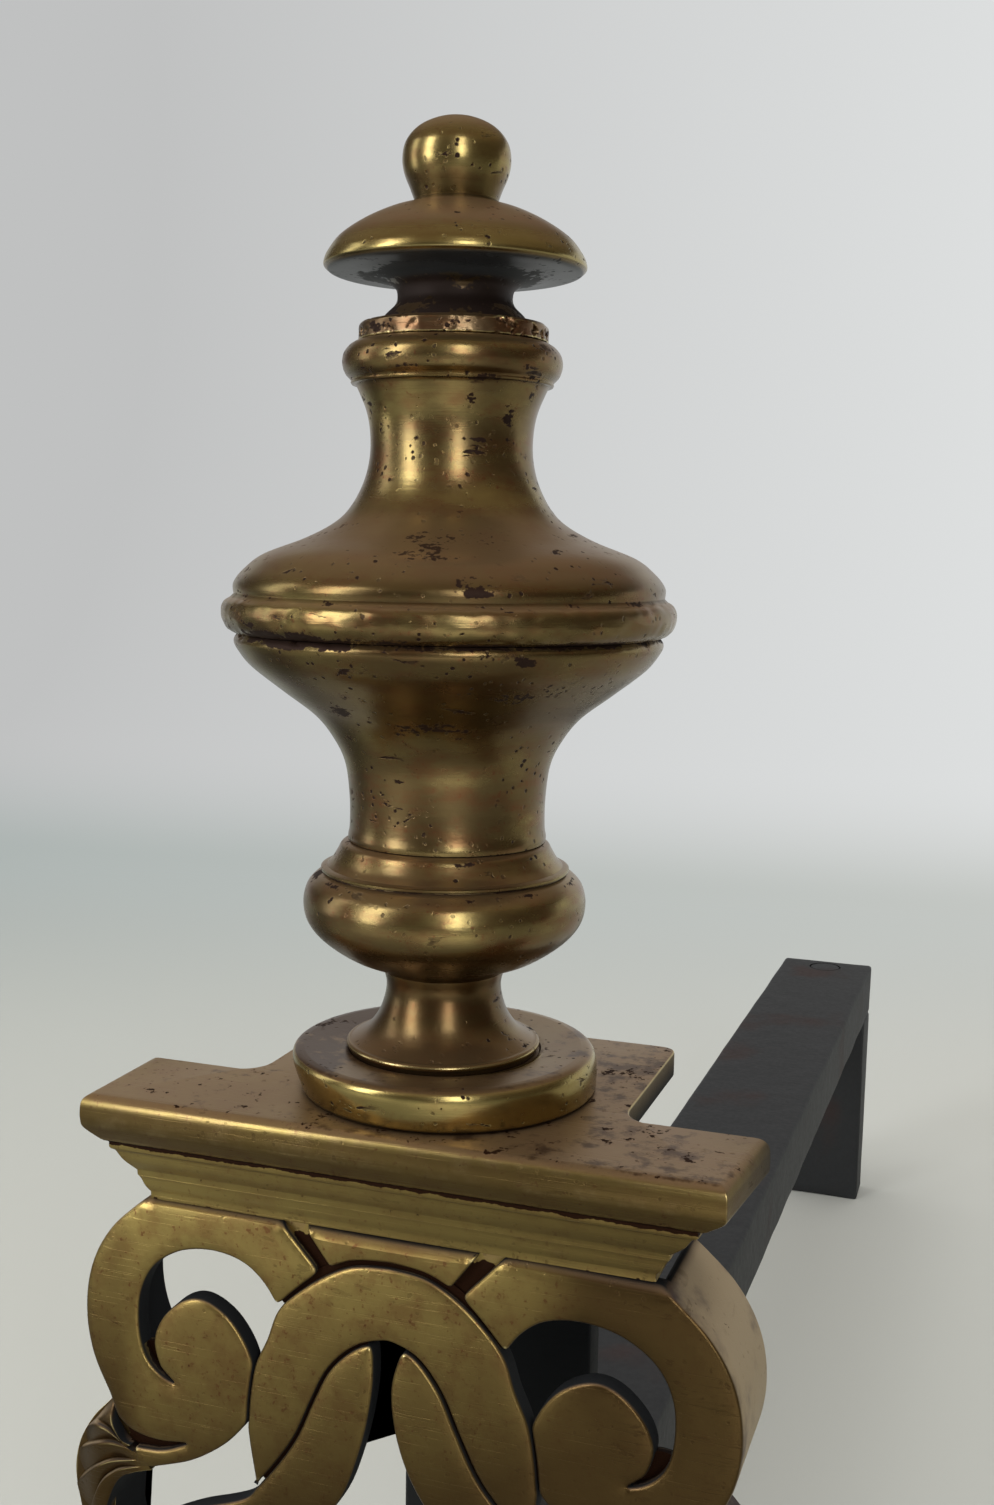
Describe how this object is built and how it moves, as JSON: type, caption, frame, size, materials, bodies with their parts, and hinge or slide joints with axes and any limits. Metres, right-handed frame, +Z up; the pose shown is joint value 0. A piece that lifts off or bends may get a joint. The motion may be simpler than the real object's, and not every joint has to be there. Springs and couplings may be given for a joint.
{
  "type": "andiron",
  "caption": "Brass andiron with a turned baluster column, T-shaped moulded plate and pierced scroll front, on a flat iron log bar with a rear leg.",
  "frame": {"origin": "on the hearth, under the middle of the overall width and depth", "axes": "+Z up, +Y towards the back of the hearth along the log bar, +X to the right seen from the room"},
  "size_m": [0.174, 0.542, 0.3645],
  "materials": {
    "turned_brass": "turned and hand polished, tarnished, with dark pits",
    "dull_brass": "pitted, dull",
    "cast_brass": "cast and filed, satin, mottled tarnish",
    "forged_iron": "forge black, matt, a little rust",
    "plain_iron": "bare iron, dull"
  },
  "bodies": {
    "root": {"finial": "turned_brass", "finial_collar": "dull_brass", "vase_upper": "turned_brass", "vase_lower": "turned_brass", "knop_stem": "turned_brass", "base_disc": "turned_brass", "tie_rod": "plain_iron", "tie_rod_washer": "plain_iron", "tie_rod_nut": "plain_iron", "t_plate": "cast_brass", "pierced_front": "cast_brass", "front_screws": "plain_iron", "front_upright": "forged_iron", "tongue_rivets": "plain_iron", "log_bar": "forged_iron", "rear_leg": "forged_iron"}
  },
  "joints": []
}
